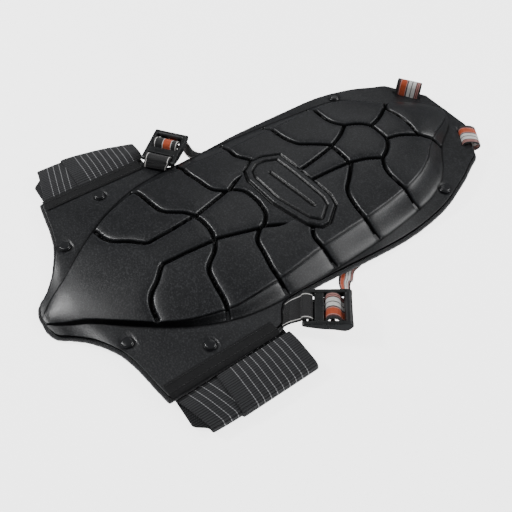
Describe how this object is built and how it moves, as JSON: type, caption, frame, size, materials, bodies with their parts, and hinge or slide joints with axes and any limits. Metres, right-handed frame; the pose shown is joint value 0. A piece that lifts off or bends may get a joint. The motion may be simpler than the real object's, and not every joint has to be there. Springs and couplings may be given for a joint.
{
  "type": "back protector",
  "caption": "Moulded spine plate on a padded back panel, with shoulder straps running to side buckles and elastic waist bands folded under its wings.",
  "frame": {"origin": "middle of the footprint, on the table that the protector lies on", "axes": "+Y up the spine to the neck, +X across to the wearer's right-hand strap, +Z out of the plate, away from the back"},
  "size_m": [0.3683, 0.5212, 0.0355],
  "materials": {
    "moulded_plate": "satin fine-grained moulding",
    "foam": "closed-cell foam, matt",
    "spacer_mesh": "knitted spacer mesh, matt",
    "binding_tape": "woven tape, matt",
    "rivet_plastic": "smooth, slightly glossy",
    "washer_steel": "plain",
    "seam_webbing": "woven tape with stitching",
    "elastic": "ribbed woven elastic with fine pale lines",
    "hook_closure": "fine hooks, matt",
    "loop_closure": "brushed loops, matt",
    "buckle_plastic": "satin moulding",
    "black_webbing": "woven webbing",
    "striped_webbing": "woven webbing with lengthwise stripes"
  },
  "bodies": {
    "protector": {"outer_shell": "moulded_plate", "impact_foam": "foam", "back_liner": "spacer_mesh", "edge_binding": "binding_tape", "tail_rivets": "rivet_plastic", "wing_rivets": "rivet_plastic", "shoulder_rivets": "rivet_plastic", "tail_washers": "washer_steel", "wing_washers": "washer_steel", "shoulder_washers": "washer_steel", "left_belt_seam": "seam_webbing", "right_belt_seam": "seam_webbing", "left_top_loop": "striped_webbing", "right_top_loop": "striped_webbing", "left_shoulder_strap": "striped_webbing", "right_shoulder_strap": "striped_webbing", "left_anchor_web": "black_webbing", "right_anchor_web": "black_webbing", "left_strap_link": "striped_webbing", "right_strap_link": "striped_webbing"},
    "left_belt": {"left_upper_band": "elastic", "left_lower_band": "elastic", "left_upper_fold": "elastic", "left_lower_fold": "elastic"},
    "left_belt_end": {"left_upper_return": "elastic", "left_lower_return": "elastic", "left_hook_tab": "hook_closure"},
    "left_buckle": {"left_buckle_frame": "buckle_plastic", "left_strap_turn": "striped_webbing", "left_strap_tail": "black_webbing"},
    "right_belt": {"right_upper_band": "elastic", "right_lower_band": "elastic", "right_upper_fold": "elastic", "right_lower_fold": "elastic"},
    "right_belt_end": {"right_upper_return": "elastic", "right_lower_return": "elastic", "right_loop_panel": "loop_closure"},
    "right_buckle": {"right_buckle_frame": "buckle_plastic", "right_strap_turn": "striped_webbing", "right_strap_tail": "black_webbing"}
  },
  "joints": [
    {"name": "right_belt_lift", "type": "hinge", "parent": "protector", "child": "right_belt", "pos_m": [0.139, -0.14, 0.0092], "axis": [0, -1, 0], "range_deg": [0, 90]},
    {"name": "left_belt_lift", "type": "hinge", "parent": "protector", "child": "left_belt", "pos_m": [-0.139, -0.14, 0.0092], "axis": [0, 1, 0], "range_deg": [0, 60]},
    {"name": "right_belt_unfold", "type": "hinge", "parent": "right_belt", "child": "right_belt_end", "pos_m": [0.1749, -0.14, 0.0066], "axis": [0, -1, 0], "range_deg": [0, 175], "deforming": ["right_upper_fold", "right_lower_fold"]},
    {"name": "left_belt_unfold", "type": "hinge", "parent": "left_belt", "child": "left_belt_end", "pos_m": [-0.1785, -0.14, 0.0066], "axis": [0.2055, 0.9787, 0], "range_deg": [0, 175], "deforming": ["left_upper_fold", "left_lower_fold"]},
    {"name": "right_buckle_tilt", "type": "hinge", "parent": "protector", "child": "right_buckle", "pos_m": [0.13, -0.056, 0.018], "axis": [0.7915, -0.6112, 0], "range_deg": [0, 70], "deforming": ["right_strap_link"]},
    {"name": "left_buckle_tilt", "type": "hinge", "parent": "protector", "child": "left_buckle", "pos_m": [-0.115, -0.071, 0.0185], "axis": [0.7915, 0.6112, 0], "range_deg": [0, 70], "deforming": ["left_strap_link"]}
  ]
}
